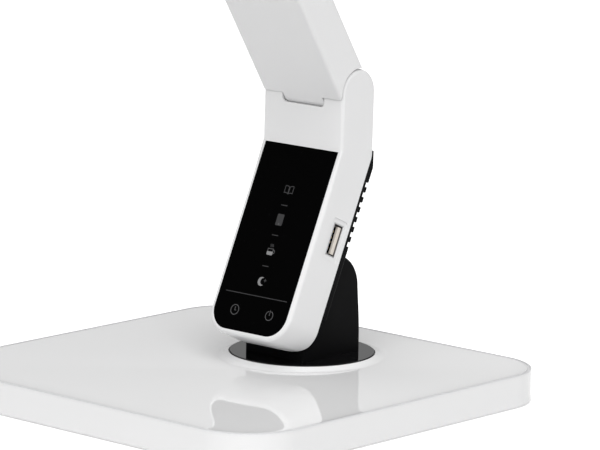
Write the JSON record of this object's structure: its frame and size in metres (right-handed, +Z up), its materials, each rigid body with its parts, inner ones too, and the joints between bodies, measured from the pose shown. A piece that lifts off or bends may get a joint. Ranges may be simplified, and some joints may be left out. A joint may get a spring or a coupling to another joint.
{
  "type": "folding led desk lamp",
  "caption": "LED desk lamp with weighted square base, swivelling foot, bent lower arm carrying a touch panel and USB socket, hinged upper arm and flat hinged light head.",
  "frame": {"origin": "on the desk under the middle of the square base, on the underside of the anti-slip sheet", "axes": "+Z up, +X to the side with the USB socket, +Y to the back, so the touch panel and the light head face -Y"},
  "size_m": [0.18, 0.4954, 0.3642],
  "materials": {
    "white_gloss": "glossy moulded plastic",
    "white_satin": "satin moulded plastic",
    "black_gloss": "polished black plastic",
    "black_lens": "black lens with printed key symbols",
    "black_satin": "satin black plastic",
    "grey_plate": "dull dark grey plastic",
    "ballast_steel": "plain iron weight",
    "bright_steel": "zinc-plated steel",
    "dark_steel": "blackened steel",
    "bearing_plastic": "ivory bearing plastic",
    "friction_plastic": "dark friction plastic",
    "anti_slip": "matt foam rubber",
    "board": "green circuit board",
    "components": "dark component cases",
    "socket_cream": "cream contact carrier",
    "lamp_lead": "grey insulated lead",
    "led_board": "white lacquered aluminium board",
    "led_resin": "yellow phosphor resin",
    "opal": "opal diffuser"
  },
  "bodies": {
    "base": {"base_shell": "white_gloss", "base_ballast": "ballast_steel", "base_plate": "grey_plate", "base_screws": "bright_steel", "base_pad": "anti_slip", "dc_inlet": "black_satin", "dc_inlet_pin": "bright_steel", "swivel_bush": "bearing_plastic", "thrust_washer": "bright_steel"},
    "turntable": {"turntable_disc": "black_gloss", "swivel_spindle": "bright_steel", "swivel_clip": "dark_steel", "neck": "black_satin", "neck_screws": "bright_steel", "lower_arm_shell": "white_satin", "lower_arm_cover": "black_satin", "cover_screws": "dark_steel", "saddle_screws": "bright_steel", "touch_panel": "black_lens", "touch_board": "board", "driver_board": "board", "driver_parts": "components", "driver_screws": "bright_steel", "usb_shell": "bright_steel", "usb_tongue": "socket_cream", "elbow_pin": "bright_steel", "elbow_washers": "friction_plastic", "elbow_cap": "white_satin"},
    "upper_arm": {"upper_arm_shell": "white_satin", "upper_arm_cover": "white_satin", "arm_cable": "lamp_lead", "head_pin": "bright_steel", "head_washers": "friction_plastic", "head_cap": "white_satin"},
    "head": {"head_housing": "white_satin", "led_board": "led_board", "leds": "led_resin", "led_screws": "bright_steel", "diffuser": "opal"}
  },
  "joints": [
    {"name": "base_swivel", "type": "hinge", "parent": "base", "child": "turntable", "pos_m": [0, 0.0377, 0], "axis": [0, 0, 1], "range_deg": [-45, 45]},
    {"name": "elbow_tilt", "type": "hinge", "parent": "turntable", "child": "upper_arm", "pos_m": [0, 0.0455, 0.11993], "axis": [1, 0, 0], "range_deg": [-80, 4]},
    {"name": "head_tilt", "type": "hinge", "parent": "upper_arm", "child": "head", "pos_m": [0, -0.10555, 0.3557], "axis": [1, 0, 0], "range_deg": [-60, 40]}
  ]
}
